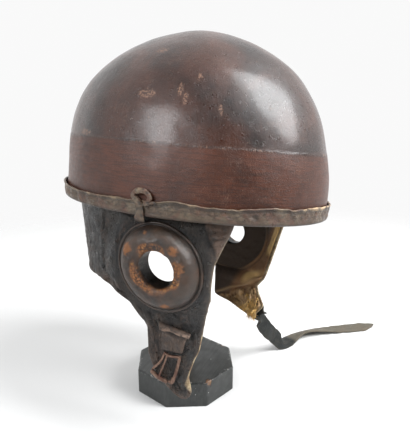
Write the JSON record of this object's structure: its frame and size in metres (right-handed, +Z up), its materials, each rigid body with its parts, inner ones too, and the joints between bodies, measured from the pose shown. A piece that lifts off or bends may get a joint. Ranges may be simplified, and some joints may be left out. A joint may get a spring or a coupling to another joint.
{
  "type": "flight helmet on stand",
  "caption": "Hard leather flight helmet with padded ear rings, ear flaps, neck curtain, buckle and chin strap, standing on a plain octagonal wooden block with a post.",
  "frame": {"origin": "centre of the stand's underside, on the floor", "axes": "+Z up; the helmet faces -Y; the wearer's right side, with the buckle, is at -X and the chin strap hangs at +X"},
  "size_m": [0.3239, 0.3068, 0.3598],
  "materials": {
    "shell_leather": "polished, worn dark mahogany leather over a hard shell",
    "binding_leather": "worn matt, pale scuffed edge",
    "flap_leather": "creased matt charcoal brown",
    "ring_leather": "worn smooth, cracked to rust brown at the hole",
    "tab_leather": "worn matt",
    "lining_cloth": "soiled and stained",
    "strap_leather": "dry matt",
    "buckle_metal": "dull, brown with rust",
    "base_wood": "black paint, chipped",
    "stand_wood": "plain turned wood"
  },
  "bodies": {
    "root": {"shell": "shell_leather", "rim_binding": "binding_leather", "binding_tie": "binding_leather", "right_ear_flap": "flap_leather", "right_ear_ring": "ring_leather", "buckle_tab": "tab_leather", "buckle_frame": "buckle_metal", "left_ear_flap": "flap_leather", "left_flap_lining": "lining_cloth", "left_ear_ring": "ring_leather", "neck_curtain": "flap_leather", "chin_strap": "strap_leather", "stand_base": "base_wood", "stand_post": "stand_wood", "stand_top": "stand_wood"}
  },
  "joints": []
}
